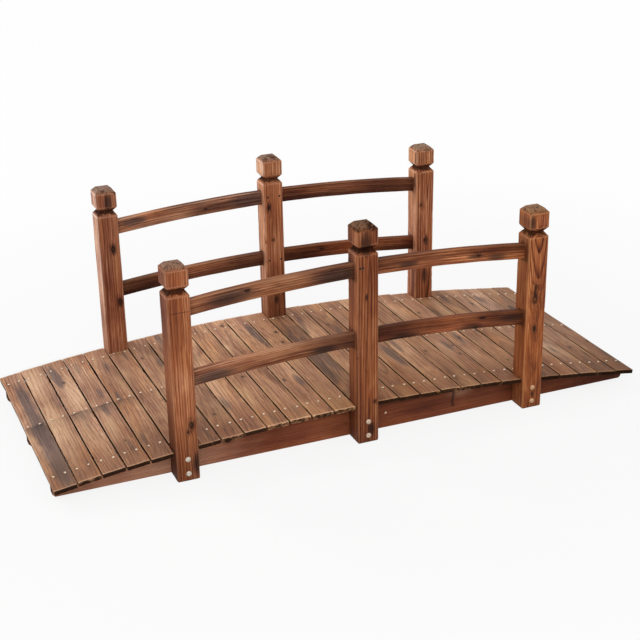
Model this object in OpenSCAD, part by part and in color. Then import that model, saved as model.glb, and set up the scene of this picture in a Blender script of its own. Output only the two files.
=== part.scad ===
// Arched wooden garden bridge: three sawn stringers, a deck of cross boards,
// six posts with notched caps, and curved rails let into the posts.
// Millimetres. X runs along the bridge, Y across it, Z up.
// The origin lies on the ground, under the middle of the deck.

/* [Deck] */
// Width of a full deck board along the bridge
board_w = 52.5; // [30:0.5:90]
// Thickness of a deck board
board_t = 10; // [6:0.5:25]
// Gap between neighbouring boards
board_gap = 3; // [1:0.5:8]
// Rounding of a board's long edges
board_edge_r = 1.5; // [0.5:0.1:2.5]
// Reach of a full board past the outer face of the outer stringer
deck_overhang = 47; // [10:1:52]
// Clearance between a board and the sawn arch it is nailed to
board_seat = 0.2; // [0.1:0.05:0.5]

/* [Stringers] */
// Radius of the arch sawn along the top of a stringer
arch_r = 4870; // [3500:10:9000]
// Height of a stringer at the crown
stringer_h = 87.5; // [80:0.5:160]
// Thickness of a stringer
stringer_t = 22; // [15:0.5:45]
// Width over the outer faces of the two outer stringers
frame_w = 540; // [300:5:1200]
// Distance a stringer stops short of the end of the deck
stringer_inset = 3; // [0:0.5:20]
// Height and length of the corner taken off under each stringer end
stringer_end_cut = 6; // [2:0.5:12]

/* [Posts] */
// Side of the square post
post_w = 54; // [45:0.5:90]
// Chamfer on the post's long edges
post_edge = 4; // [1:0.5:6]
// Height of the middle posts
middle_post_h = 541; // [450:1:900]
// Chamfer round the foot of a post
post_foot = 3; // [1:0.5:6]
// Clearance between a post and the full boards beside it
post_gap = 2.25; // [2:0.25:10]
// Clearance between a post and the end of a short board
short_board_gap = 1; // [0.5:0.25:5]

/* [Post caps] */
// Inset of the flat top behind the cap's faces
cap_bevel_in = 11; // [4:0.5:16]
// Height of the bevel round the flat top
cap_bevel_h = 11; // [3:0.5:16]
// Height of the cap's upright faces
cap_h = 35; // [20:0.5:60]
// Height of the notch sawn round the neck
neck_h = 24; // [12:0.5:40]
// Depth of the notch sawn round the neck
neck_depth = 10.5; // [4:0.5:16]

/* [Rails] */
// Height of a rail
rail_h = 37; // [25:0.5:50]
// Thickness of a rail
rail_t = 16; // [10:0.5:28]
// Rounding of a rail's long edges
rail_edge_r = 3; // [1:0.5:4.5]
// Radius of the bow along the top of a rail
rail_r = 3800; // [2500:10:9000]
// Distance of the upper rail's top below the top of a post
upper_rail_down = 91; // [84:1:140]
// Distance of the lower rail's top below the upper rail's top
rail_spacing = 169; // [60:1:200]
// Length of a rail's end inside its post
tenon_len = 20; // [10:0.5:21]
// Clearance round a rail's end in its mortise
mortise_gap = 0.6; // [0.3:0.1:1.5]

/* [Bolts] */
// Shank diameter of a carriage bolt
bolt_d = 6; // [5:0.5:8]
// Radial clearance of a bolt in its hole
bolt_clear = 0.25; // [0.1:0.05:0.5]
// Diameter of a bolt's domed head
bolt_head_d = 13; // [11:0.5:18]
// Height of a bolt's domed head
bolt_head_h = 3.5; // [2:0.5:5]
// Height of the lower bolt
lower_bolt_z = 19; // [10:0.5:26]
// Depth of the upper bolt below the stringer's top at the end posts
bolt_cover = 12.25; // [10:0.25:25]
// Width of a nut across its flats
nut_af = 10; // [8:0.5:13]
// Height of a nut
nut_h = 5; // [3:0.5:8]
// Diameter of the washer under a nut
washer_d = 14; // [12:0.5:20]
// Thickness of the washer under a nut
washer_t = 1.2; // [0.8:0.1:2.5]
// Length of bolt thread left showing past the nut
bolt_tail = 3; // [1:0.5:8]

/* [Hidden] */
// Full boards between two posts, and full boards past the end posts
bay_boards = 7;
end_boards = 5;
board_count = 2 * (bay_boards + end_boards) + 3;
middle_board = (board_count + 1) / 2;

// Slot in the deck that a pair of posts and their short board fill
post_slot_w = post_w + 2 * post_gap;
short_board_w = post_slot_w - 2 * board_gap;
board_pitch = board_w + board_gap;
short_extra = short_board_w - board_w;

deck_w = frame_w + 2 * deck_overhang;
short_board_l = frame_w - 2 * short_board_gap;
arch_z = stringer_h - arch_r;

// Posts stand level with the middles of their short boards
post_spacing = arch_r * sin(arch_turn(bay_boards + 1));
post_y = (frame_w + post_w) / 2;

deck_half = arch_r * sin(deg(board_place(board_count - middle_board) + board_w / 2));
stringer_l = 2 * (deck_half - stringer_inset);

rail_drop = rail_r - sqrt(rail_r * rail_r - post_spacing * post_spacing);
end_post_h = middle_post_h - rail_drop;
upper_rail_top = middle_post_h - upper_rail_down;
lower_rail_top = upper_rail_top - rail_spacing;
upper_bolt_z = arch_z + sqrt(arch_r * arch_r - post_spacing * post_spacing) - bolt_cover;

arc_fn = 1440;
round_fn = 32;
past = 1;

SIDES = ["near", "far"];
PLACES = ["left", "middle", "right"];
BAYS = ["left", "right"];
LEVELS = ["upper", "lower"];

// Angle in degrees of an arc of the given length on the deck's arch
function deg(len) = len / arch_r * 180 / PI;
// Share of the short boards' extra width passed at n boards from the middle
function short_share(n) = n == 0 ? 0 : n <= bay_boards ? 0.5 : n == bay_boards + 1 ? 1 : 1.5;
// Distance along the arch from the crown to a board n places from the middle
function board_place(n) = sign(n) * (abs(n) * board_pitch + short_share(abs(n)) * short_extra);
function arch_turn(n) = deg(board_place(n));
function is_short(i) = abs(i - middle_board) % (bay_boards + 1) == 0;
function board_name(i) = str("deck_board_", i < 10 ? "0" : "", i);
function side_sign(s) = s == "near" ? -1 : 1;
function post_x(p) = p == "left" ? -post_spacing : p == "right" ? post_spacing : 0;
function post_h(p) = p == "middle" ? middle_post_h : end_post_h;
function rail_top(v) = v == "upper" ? upper_rail_top : lower_rail_top;

// Rectangle of size w by h with rounded corners, centred on the origin
module rounded_rect(w, h, r) {
  square([w - 2 * r, h], center = true);
  square([w, h - 2 * r], center = true);
  for (x = [-1, 1])
    for (y = [-1, 1])
      translate([x * (w / 2 - r), y * (h / 2 - r)])
        circle(r = r, $fn = round_fn);
}

// Plank with a flat foot and a sawn arch along its top
module stringer(y) {
  color("#7a4a30")
    translate([0, y + stringer_t / 2, 0])
      rotate([90, 0, 0])
        linear_extrude(stringer_t)
          difference() {
            intersection() {
              translate([-stringer_l / 2, 0])
                square([stringer_l, stringer_h + past]);
              translate([0, arch_z])
                circle(r = arch_r, $fn = arc_fn);
            }
            for (side = [-1, 1])
              translate([side * stringer_l / 2, 0])
                circle(r = stringer_end_cut, $fn = 4);
          }
}

module outer_stringer(s) {
  difference() {
    stringer(side_sign(s) * (frame_w - stringer_t) / 2);
    for (p = PLACES) post_bolt_holes(s, p);
  }
}

// Cross board laid tangent to the arch, nailed to the three stringers
module deck_board(i) {
  length = is_short(i) ? short_board_l : deck_w;
  width = is_short(i) ? short_board_w : board_w;
  color("#9a6a45")
    translate([0, 0, arch_z])
      rotate([0, arch_turn(i - middle_board), 0])
        translate([0, 0, arch_r + board_seat + board_t / 2])
          rotate([90, 0, 0])
            linear_extrude(length, center = true)
              rounded_rect(width, board_t, board_edge_r);
}

// Octagon that a square post with chamfered edges fills in plan
module post_plan() {
  h = post_w / 2;
  c = h - post_edge;
  polygon([[-c, -h], [c, -h], [h, -c], [h, c], [c, h], [-c, h], [-h, c], [-h, -c]]);
}

// Bar of triangular section along X, its points in the YZ plane
module cutter(points) {
  rotate([90, 0, 90])
    linear_extrude(2 * post_w, center = true)
      polygon(points);
}

// Cuts taken from each of the four faces: neck notch, cap bevel and foot chamfer
module post_face_cuts(h) {
  face = post_w / 2;
  cap_top = h - cap_bevel_h;
  neck_top = cap_top - cap_h;
  for (turn = [0 : 90 : 270])
    rotate([0, 0, turn]) {
      cutter([[face + past, neck_top + past * neck_h / neck_depth / 2],
              [face - neck_depth, neck_top - neck_h / 2],
              [face + past, neck_top - neck_h - past * neck_h / neck_depth / 2]]);
      cutter([[face, cap_top], [face - cap_bevel_in, h],
              [face - cap_bevel_in, h + past], [face + past, h + past], [face + past, cap_top]]);
      cutter([[face, post_foot], [face - post_foot, 0],
              [face - post_foot, -past], [face + past, -past], [face + past, post_foot]]);
    }
}

module post(s, p) {
  color("#8a4f33")
    difference() {
      translate([post_x(p), side_sign(s) * post_y, 0])
        difference() {
          linear_extrude(post_h(p)) post_plan();
          post_face_cuts(post_h(p));
        }
      for (b = BAYS)
        if (p == "middle" || p == b)
          for (v = LEVELS) mortise(s, b, v);
      post_bolt_holes(s, p);
    }
}

// Piece of a ring standing on edge, bowed upwards, between two distances from the middle
module bowed_bar(top, from_x, to_x, side) {
  from_a = asin(from_x / rail_r);
  to_a = asin(to_x / rail_r);
  mirror([side == "left" ? 1 : 0, 0, 0])
    translate([0, 0, top - rail_r])
      rotate([90, 0, 0])
        rotate([0, 0, 90 - to_a])
          rotate_extrude(angle = to_a - from_a, $fn = arc_fn)
            translate([rail_r - rail_h / 2, 0])
              children();
}

// Rail curved over one bay, with a plain end inside each post
module rail(s, b, v) {
  from_x = post_w / 2 - tenon_len;
  to_x = post_spacing - post_w / 2 + tenon_len;
  color("#6b3f2a")
    translate([0, side_sign(s) * post_y, 0])
      bowed_bar(rail_top(v), from_x, to_x, b)
        rounded_rect(rail_h, rail_t, rail_edge_r);
}

// Pocket for a rail's end, the rail's own bow with a clearance all round
module mortise(s, b, v) {
  from_x = post_w / 2 - tenon_len - mortise_gap;
  to_x = post_spacing - post_w / 2 + tenon_len + mortise_gap;
  translate([0, side_sign(s) * post_y, 0])
    bowed_bar(rail_top(v), from_x, to_x, b)
      square([rail_h + 2 * mortise_gap, rail_t + 2 * mortise_gap], center = true);
}

// Places its children on the axes of a post's two bolts, Z pointing in to the deck
module at_post_bolts(s, p) {
  for (z = [lower_bolt_z, upper_bolt_z])
    translate([post_x(p), side_sign(s) * (frame_w / 2 + post_w), z])
      rotate([side_sign(s) * 90, 0, 0])
        children();
}

module post_bolt_holes(s, p) {
  at_post_bolts(s, p)
    translate([0, 0, -past])
      cylinder(d = bolt_d + 2 * bolt_clear, h = post_w + stringer_t + 2 * past, $fn = round_fn);
}

// Carriage bolt with its dome on the post and its nut behind the stringer
module bolt() {
  grip = post_w + stringer_t;
  dome_r = (bolt_head_d * bolt_head_d / 4 + bolt_head_h * bolt_head_h) / (2 * bolt_head_h);
  rotate_extrude($fn = round_fn)
    intersection() {
      translate([0, dome_r - bolt_head_h]) circle(r = dome_r, $fn = 4 * round_fn);
      translate([0, -bolt_head_h]) square([bolt_head_d / 2, bolt_head_h]);
    }
  cylinder(d = bolt_d, h = grip + washer_t + nut_h + bolt_tail, $fn = round_fn);
  translate([0, 0, grip])
    cylinder(d = washer_d, h = washer_t, $fn = round_fn);
  translate([0, 0, grip + washer_t])
    cylinder(d = nut_af / cos(30), h = nut_h, $fn = 6);
}

module post_bolts() {
  color("#b9b6ac")
    for (s = SIDES)
      for (p = PLACES)
        at_post_bolts(s, p) bolt();
}

for (s = SIDES) {
  outer_stringer(s);
  for (p = PLACES)
    post(s, p);
  for (b = BAYS)
    for (v = LEVELS)
      rail(s, b, v);
}
stringer(0);  // middle_stringer
for (i = [1 : board_count])
  deck_board(i);
post_bolts();
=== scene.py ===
import math

import bmesh
import bpy
import numpy as np
from mathutils import Matrix, Vector


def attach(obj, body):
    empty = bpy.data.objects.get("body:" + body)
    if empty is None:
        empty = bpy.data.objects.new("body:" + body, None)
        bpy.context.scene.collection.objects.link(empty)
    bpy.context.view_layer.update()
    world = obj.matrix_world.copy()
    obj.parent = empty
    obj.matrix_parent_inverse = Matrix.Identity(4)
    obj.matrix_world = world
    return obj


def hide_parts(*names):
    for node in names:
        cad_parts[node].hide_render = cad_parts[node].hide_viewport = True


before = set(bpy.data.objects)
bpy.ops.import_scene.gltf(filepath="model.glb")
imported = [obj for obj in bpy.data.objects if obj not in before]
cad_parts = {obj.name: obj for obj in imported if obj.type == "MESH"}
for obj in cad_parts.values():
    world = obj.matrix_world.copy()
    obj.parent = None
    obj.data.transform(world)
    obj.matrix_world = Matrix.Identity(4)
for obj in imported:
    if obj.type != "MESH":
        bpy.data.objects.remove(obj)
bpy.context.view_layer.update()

MM = 0.001

# Sizes of the bridge, in millimetres
BOARD_W, BOARD_T, BOARD_PITCH = 52.5, 10.0, 55.5
BOARD_COUNT, MIDDLE_BOARD, SHORT_BOARDS = 27, 14, (6, 14, 22)
DECK_W, SHORT_L, BOARD_SEAT = 634.0, 538.0, 0.2
ARCH_R, STRINGER_H, STRINGER_T, STRINGER_L = 4870.0, 87.5, 22.0, 1483.6
POST_W, POST_EDGE, POST_Y, POST_SPACING = 54.0, 4.0, 297.0, 443.4
CAP_BEVEL, CAP_H, NECK_H, NECK_DEPTH, POST_FOOT = 11.0, 35.0, 24.0, 10.5, 3.0
MIDDLE_H, RAIL_R, RAIL_H, RAIL_T = 541.0, 3800.0, 37.0, 16.0
RAIL_START = 7.0
RAIL_TOPS = {"upper": 450.0, "lower": 281.0}
MORTISE_DEPTH, MORTISE_GAP = 21.0, 0.8
NAIL_ROWS, NAIL_SIDE = (-254.0, 7.5, 262.0), 14.15
BOLT_Z = (19.0, 55.0)

END_H = MIDDLE_H - (RAIL_R - math.sqrt(RAIL_R ** 2 - POST_SPACING ** 2))
POST_IN_Y, POST_OUT_Y = POST_Y - POST_W / 2, POST_Y + POST_W / 2
STRINGER_Y = POST_IN_Y - STRINGER_T / 2
SIDES = {"near": -1, "far": 1}
POST_X = {"left": -POST_SPACING, "middle": 0.0, "right": POST_SPACING}
# Directions in which a post has rails let in
INNER_SIDES = {"left": (1,), "middle": (-1, 1), "right": (-1,)}


# Smooth seeded noise used to make the shapes a little uneven

def fade(t):
    """Smooth rise from 0 to 1 as t goes from 0 to 1."""
    return t * t * (3 - 2 * t)


def smooth(x, low, high):
    """Smooth step from 0 at low to 1 at high."""
    return fade(np.clip((np.asarray(x, float) - low) / (high - low), 0, 1))


def noise_1d(x, seed, step):
    """Smooth noise along x, about -1 to 1, with knots a step apart."""
    table = np.random.default_rng(seed).uniform(-1, 1, 512)
    t = np.asarray(x, float) / step + 100.0
    i = np.floor(t).astype(int)
    f = fade(t - i)
    return table[i % 512] * (1 - f) + table[(i + 1) % 512] * f


def noise_2d(x, y, seed, step_x, step_y):
    """Smooth noise over x and y, about -1 to 1."""
    table = np.random.default_rng(seed).uniform(-1, 1, (128, 128))
    tx = np.asarray(x, float) / step_x + 50.0
    ty = np.asarray(y, float) / step_y + 50.0
    ix, iy = np.floor(tx).astype(int), np.floor(ty).astype(int)
    fx, fy = fade(tx - ix), fade(ty - iy)
    ix, iy, jx, jy = ix % 128, iy % 128, (ix + 1) % 128, (iy + 1) % 128
    low = table[ix, iy] * (1 - fx) + table[jx, iy] * fx
    high = table[ix, jy] * (1 - fx) + table[jx, jy] * fx
    return low * (1 - fy) + high * fy


# Meshes

def write_attributes(mesh, attributes):
    """Point attributes from {name: array}, with rows of three as vectors."""
    for key, values in attributes.items():
        values = np.asarray(values, np.float32)
        if values.ndim == 1:
            mesh.attributes.new(key, "FLOAT", "POINT").data.foreach_set("value", values)
        else:
            mesh.attributes.new(key, "FLOAT_VECTOR", "POINT").data.foreach_set("vector", values.ravel())


def add_object(name, data):
    obj = bpy.data.objects.new(name, data)
    bpy.context.scene.collection.objects.link(obj)
    return obj


def make_mesh(name, points_mm, faces, attributes, material, smooth_deg=38):
    """Object from points in millimetres, with point attributes {name: array}."""
    mesh = bpy.data.meshes.new(name)
    mesh.from_pydata((np.asarray(points_mm) * MM).tolist(), [], [list(map(int, f)) for f in faces])
    mesh.validate()
    mesh.update()
    write_attributes(mesh, attributes)
    mesh.materials.append(material)
    mesh.shade_smooth()
    mesh.set_sharp_from_angle(angle=math.radians(smooth_deg))
    return add_object(name, mesh)


def settle(obj, slot, *nodes):
    """The piece rides on the bridge and stands for its CAD nodes."""
    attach(obj, "root")
    if nodes:
        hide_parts(*nodes)


def rounded_outline(w, h, r, flat_step, corner_points=4):
    """Closed outline of a w by h rectangle with rounded corners, counter-clockwise."""
    arcs = []
    for right, top, start in ((1, -1, -90), (1, 1, 0), (-1, 1, 90), (-1, -1, 180)):
        a = np.radians(np.linspace(start, start + 90, corner_points))
        arcs.append(np.column_stack([right * (w / 2 - r) + r * np.cos(a), top * (h / 2 - r) + r * np.sin(a)]))
    points = []
    for arc, following in zip(arcs, arcs[1:] + arcs[:1]):
        begin, end = arc[-1], following[0]
        count = max(1, int(round(np.linalg.norm(end - begin) / flat_step)))
        points += [arc, np.linspace(begin, end, count + 1)[1:-1]]
    return np.concatenate(points)


def sweep_faces(rings, count):
    """Quads between rings of count points each, and an n-gon on each end."""
    faces = []
    last = (rings - 1) * count
    for a in range(0, last, count):
        b = a + count
        for k in range(count):
            m = (k + 1) % count
            faces.append((a + k, a + m, b + m, b + k))
    return faces + [tuple(reversed(range(count))), tuple(range(last, last + count))]


def end_rings(length, r, step):
    """Stations along a bar with rounded ends, as pairs of place and inset."""
    half = length / 2
    inner = half - r
    arcs = [(inner + r * math.sin(a), r - r * math.cos(a)) for a in np.radians((0, 30, 60, 90))]
    close = [(half, r + 1.2), (half, r + 3.2)]
    ends = arcs + close
    count = max(2, int(round(2 * inner / step)))
    body = [(-inner + 2 * inner * k / count, 0.0) for k in range(1, count)]
    return [(-s, i) for s, i in reversed(ends)] + body + ends


def bar_points(length, outline, r, step):
    """Points of a bar as (along, across, up), how near each is to an end's edge, and the number of rings."""
    points, edge = [], []
    size = np.abs(outline).max(0)
    for place, inset in end_rings(length, r, step):
        ring = outline * np.maximum(1 - inset / size, 0.05)
        points.append(np.column_stack([np.full(len(ring), place), ring]))
        edge.append(np.full(len(ring), smooth(length / 2 - abs(place), 6.0, 0.0) * (inset < r + 1)))
    return np.concatenate(points), np.concatenate(edge), len(points)


# Node trees written as sums

def add_node(kind, inputs, **settings):
    node = Sock.tree.nodes.new("ShaderNode" + kind)
    for key, value in settings.items():
        setattr(node, key, value)
    return feed(node, inputs)


def feed(node, inputs):
    """Sets a node's inputs, each from a socket, a number or an sRGB colour."""
    for key, value in inputs.items():
        if isinstance(value, Sock):
            value = value.socket
        if isinstance(value, bpy.types.NodeSocket):
            Sock.tree.links.new(value, node.inputs[key])
        elif isinstance(value, (int, float)):
            node.inputs[key].default_value = value
        else:
            node.inputs[key].default_value = linear(value)
    return node


def linear(colour):
    """Linear red, green, blue and alpha of an sRGB colour given 0 to 255."""
    shares = [c / 255 for c in colour]
    return [c / 12.92 if c <= 0.04045 else ((c + 0.055) / 1.055) ** 2.4 for c in shares] + [1.0]


def first(operation):
    """Method that makes a Math node with the socket as its first input."""
    return lambda self, *others: Sock.math(operation, self, *others)


def second(operation):
    """Method that makes a Math node with the socket as its second input."""
    return lambda self, other: Sock.math(operation, other, self)


class Sock:
    """A shader socket that adds, multiplies and so on by making Math nodes."""
    tree = None
    __add__, __radd__ = first("ADD"), second("ADD")
    __sub__, __rsub__ = first("SUBTRACT"), second("SUBTRACT")
    __mul__, __rmul__ = first("MULTIPLY"), second("MULTIPLY")
    __truediv__, __pow__ = first("DIVIDE"), first("POWER")
    abs, max, sqrt = first("ABSOLUTE"), first("MAXIMUM"), first("SQRT")
    exp, fract = first("EXPONENT"), first("FRACT")

    def __init__(self, socket):
        self.socket = socket

    @staticmethod
    def math(operation, *values, clamp=False):
        node = add_node("Math", dict(enumerate(values)), operation=operation, use_clamp=clamp)
        return Sock(node.outputs[0])

    def clamp(self):
        return Sock.math("ADD", self, 0.0, clamp=True)

    def step(self, low, high):
        """Smooth step from 0 at low to 1 at high."""
        inputs = {"Value": self, "From Min": min(low, high), "From Max": max(low, high),
                  "To Min": float(low > high), "To Max": float(low < high)}
        return Sock(add_node("MapRange", inputs, interpolation_type="SMOOTHSTEP").outputs["Result"])


def split(socket):
    """The three parts of a vector."""
    return [Sock(output) for output in add_node("SeparateXYZ", {0: socket}).outputs]


def attribute(name):
    return split(add_node("Attribute", {}, attribute_name=name).outputs["Vector"])


def attribute_value(name):
    return Sock(add_node("Attribute", {}, attribute_name=name).outputs["Fac"])


def object_place():
    """Place of a point in its object, in metres."""
    return split(add_node("TexCoord", {}).outputs["Object"])


def vector(x, y, z):
    return add_node("CombineXYZ", {0: x, 1: y, 2: z}).outputs[0]


def noise(x, y, z, detail=2.0, rough=0.5):
    """Noise of a point, 0 to 1 about a mean of a half."""
    inputs = {"Vector": vector(x, y, z), "Scale": 1.0, "Detail": detail, "Roughness": rough}
    return Sock(add_node("TexNoise", inputs).outputs[0])


def ramp(value, places, colours):
    """Colour ramp over sRGB colours at places from 0 to 1."""
    node = add_node("ValToRGB", {0: value})
    elements = node.color_ramp.elements
    while len(elements) < len(places):
        elements.new(0.5)
    for element, place, colour in zip(elements, places, colours):
        element.position = place
        element.color = linear(colour)
    return node.outputs[0]


def mix(factor, a, b, kind="MIX"):
    """Colour mix of a and b, each a socket or an sRGB colour."""
    return add_node("Mix", {0: factor, 6: a, 7: b}, data_type="RGBA", blend_type=kind).outputs[2]


def new_material(name):
    material = bpy.data.materials.new(name)
    material.use_nodes = True
    Sock.tree = material.node_tree
    return material, material.node_tree.nodes["Principled BSDF"]


def bump(height, distance):
    return add_node("Bump", {"Strength": 1.0, "Distance": distance, "Height": height}).outputs[0]


# Wood

def knot_fields(x, y, wobble, count, stretch):
    """Swelling of the grain, dark core, rim and heart of the knots, given as (along, across, radius)."""
    swell, core, halo, heart = 0.0, 0.0, 0.0, 0.0
    for index in range(count):
        kx, ky, kr = attribute(f"knot_{index}")
        dx = (x - kx) * stretch
        dy = y - ky
        plain = (dx * dx + dy * dy).sqrt() / kr.max(0.0001)
        distance = plain + (wobble - 0.5) * 1.3
        here = kr.step(0.0002, 0.0012)
        swell = swell + (plain * plain * -0.35).exp() * kr * here
        core = core + distance.step(1.25, 0.6) * here
        halo = halo + distance.step(3.0, 0.7) * here
        heart = heart + plain.step(0.55, 0.2) * kr.step(0.0046, 0.0049)
    return swell, core, halo, heart


def patch_fields(x, y, wobble, count, stretch):
    """Dark and pale patches given as (along, across, size). A pale one has a size below 0."""
    dark, pale = 0.0, 0.0
    for index in range(count):
        px, py, size = attribute(f"patch_{index}")
        dx = (x - px) * stretch
        dy = y - py
        reach = size.abs().max(0.0001)
        distance = (dx * dx + dy * dy).sqrt() / (reach * 1.7) + wobble
        blob = distance.step(1.15, 0.0) * reach.step(0.0005, 0.002)
        is_dark = size.step(-0.0001, 0.0001)
        dark = dark + blob * is_dark
        pale = pale + blob * (1.0 - is_dark)
    return dark, pale


def stain_nails(body, colour, x, y, cloud, drift):
    """A dark band across the board beside its middle nails, and a stain round each nail."""
    ahead = BAND_PLACE * MM - x + (cloud - 0.5) * 0.03 + y * 0.08
    line = (ahead * ahead * -50000.0).exp() * drift.step(0.40, 0.55)
    zone = ahead.step(-0.002, 0.004) * ahead.step(0.06, 0.0)
    strength = attribute_value("band")
    body = mix((strength * (line * 0.7 + zone * 0.6)).clamp(), body, colour)
    aside = y.abs() - NAIL_SIDE * MM
    for row in NAIL_ROWS:
        off = x - row * MM
        near = (off * off + aside * aside).sqrt() + (cloud - 0.5) * 0.008
        body = mix(near.step(0.0065, 0.002) * 0.28, body, colour)
    return body


def draw_mark(body, look, x, y, cloud, streak):
    """A dark line across the grain, where the piece has one."""
    waver = (streak - 0.5) * 0.001 + (cloud - 0.5) * look["mark_waver"]
    ahead = x - attribute_value("mark") + waver
    line = (ahead * ahead * -look["mark_sharp"]).exp() * y.abs().step(0.026, 0.018)
    return mix(line * 0.8, body, look["mark"])


def weather_crown(body, look, x, y, z, seed):
    """Grey, cracked and stained end grain on a post's top."""
    crack = noise(x * 20.0 + seed, y * 420.0, z * 50.0, 3.0, 0.6).step(0.54, 0.64)
    stain = noise(seed, y * 44.0, z * 44.0, 3.0, 0.6).step(0.52, 0.62)
    speck = noise(seed, y * 520.0, z * 520.0, 2.0, 0.6)
    grey = ramp(speck, (0.3, 0.5, 0.7), ((96, 66, 48), look["crown"], (196, 158, 126)))
    top = mix((crack * 0.75).max(stain * 0.9), grey, look["char_colour"])
    return mix(attribute_value("crown") * 0.85, body, top)


def wood_material(name, look):
    """Scorched softwood. Points carry the attributes that grain_attributes makes."""
    material, shader = new_material(name)
    x, y, z = attribute("grain")
    pith_y, pith_z, pith_slope = attribute("pith")
    ring_w, late_w, _ = attribute("figure")
    tone, scorch, seed = attribute("tone")
    edge = attribute_value("edge")
    end = attribute_value("end")
    cloud = noise(x * 13.0, y * 30.0 + seed * 5.0, z * 30.0, 4.0, 0.6)
    drift = noise(x * 5.0 + seed * 2.0, y * 14.0, z * 14.0 + 9.0, 3.0, 0.5)

    # Growth rings round a wandering pith, bulging round the knots
    swell, core, halo, heart = knot_fields(x, y, cloud, look["knots"], look["knot_stretch"])
    wander = noise(x * 2.2, seed, 0.0, 1.0)
    waver = noise(x * 6.0, y * 24.0 + seed, z * 24.0, 2.0)
    py = y - pith_y + (wander - 0.5) * 0.02
    pz = z - pith_z + x * pith_slope
    radius = (py * py + pz * pz).sqrt() + (waver - 0.5) * look["waver"] + swell * SWELL
    spread = noise(radius * 60.0, seed, 3.0, 1.0)
    ring = (radius / ring_w + spread * 0.9).fract()
    late = ring.step(0.40, 0.92) * ring.step(1.0, 0.94)

    # Streaks and fibres drawn out along the grain
    bend = (waver - 0.5) * 0.005 + swell * 0.7
    sy, sz = y + bend, z + bend
    fine = look["streak_scale"]
    streak = noise(x * look["streak_along"] + seed, sy * fine, sz * fine, 4.0, 0.62)
    dash = noise(x * 30.0 + seed * 2.0, sy * 300.0, sz * 300.0, 2.0).step(0.58, 0.72)
    fibre = noise(x * 8.0 + seed, sy * 760.0, sz * 760.0, 3.0, 0.62)
    blotch = noise(x * 5.0 + seed * 3.0, y * 14.0, z * 14.0, 3.0, 0.55)
    shade = (look["base"] + (late - 0.3) * late_w + (streak - 0.5) * look["streak"]
             + (fibre - 0.5) * look["fibre"] + (blotch - 0.5) * look["blotch"]
             + dash * look["dash"] - cloud.step(0.55, 0.75) * 0.14).clamp()
    body = ramp(shade, PALETTE_PLACES, look["palette"])

    # Warmer and cooler stretches
    hue = noise(x * 4.0 + seed * 7.0, y * 22.0, z * 22.0 + 4.0, 3.0, 0.55)
    body = mix(hue.step(0.48, 0.68) * look["cool"], body, COOL_TINT, "MULTIPLY")
    body = mix(hue.step(0.50, 0.30) * look["warm"], body, WARM_TINT, "MULTIPLY")

    # Scorching, in soft clouds and patches that keep the grain
    wobble = (cloud - 0.5) * 0.8 + (drift - 0.5) * 0.8
    dark, pale = patch_fields(x, y, wobble, look["patches"], look["patch_stretch"])
    body = mix((pale * 0.8).clamp(), body, ramp(shade, PALE_PLACES, look["pale"]))
    burn = (drift * 0.9 + cloud * 0.45 + scorch + dark * 0.5 - 0.90 + late * 0.05).step(0.0, 0.36)
    body = mix(burn * look["burn"], body, ramp(shade, BURNT_PLACES, look["burnt"]))
    if "band" in look:
        body = stain_nails(body, look["band"], x, y, cloud, drift)
    if "mark" in look:
        body = draw_mark(body, look, x, y, cloud, streak)
    body = mix((halo * 0.4).clamp(), body, look["knot_rim"])
    body = mix((core * (0.55 + streak * 0.6)).clamp() * 0.94, body, look["knot_core"])
    body = mix((heart * 0.45).clamp(), body, look["knot_heart"])

    # Worn edges are paler, the hearts of dark patches and the sawn ends are charred, and so are the boards'
    # flanks, which also carry painted shade for the gaps
    rub = (edge * (0.45 + cloud * 1.1) + (streak - 0.5) * 0.8 - 0.48).step(0.0, 0.5)
    body = mix(rub * look["rub"], body, look["rub_colour"])
    deep = (dark + (cloud - 0.5) * 0.9 + (streak - 0.5) * 0.5).step(0.4, 1.1)
    body = mix(deep * look["deep"], body, look["deep_colour"])
    ragged = noise(seed, y * 110.0, z * 220.0, 3.0, 0.6)
    char = (end + (cloud - 0.5) * 1.1 + (ragged - 0.5) * 1.3 + (streak - 0.5) * 0.3).step(0.30, 0.72)
    char = char * end.step(0.0, 0.25)
    body = mix(char * look["char"], body, look["char_colour"])
    if "crown" in look:
        body = weather_crown(body, look, x, y, z, seed)

    # Darker wood is redder too, so green and blue fall faster with the tone
    green, blue = look["deepen"]
    cast_red, cast_green, cast_blue = attribute("cast")
    tint = vector(tone * cast_red, tone ** green * cast_green, tone ** blue * cast_blue)
    rough = (0.66 + (fibre - 0.5) * 0.4 - late * 0.10 + burn * 0.1).clamp()
    pore = noise(x * 60.0 + seed, y * 1500.0, z * 1500.0, 2.0)
    relief = late * -0.5 + fibre * 0.9 + pore * 0.35 + streak * 1.1 - core * 0.6
    feed(shader, {"Base Color": mix(1.0, body, tint, "MULTIPLY"), "Roughness": rough,
                  "Specular IOR Level": look["specular"] * (1.0 - char * 0.9),
                  "Normal": bump(relief, look["bump"])})
    return material


# Places of the colours, from pale early wood to dark late wood
PALETTE_PLACES = (0.0, 0.3, 0.55, 0.8, 1.0)
PALE_PLACES = (0.0, 0.4, 0.75, 1.0)
BURNT_PLACES = (0.0, 0.35, 0.7, 1.0)
# Where the dark band by the middle nails starts along a board
BAND_PLACE = 2.0
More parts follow.
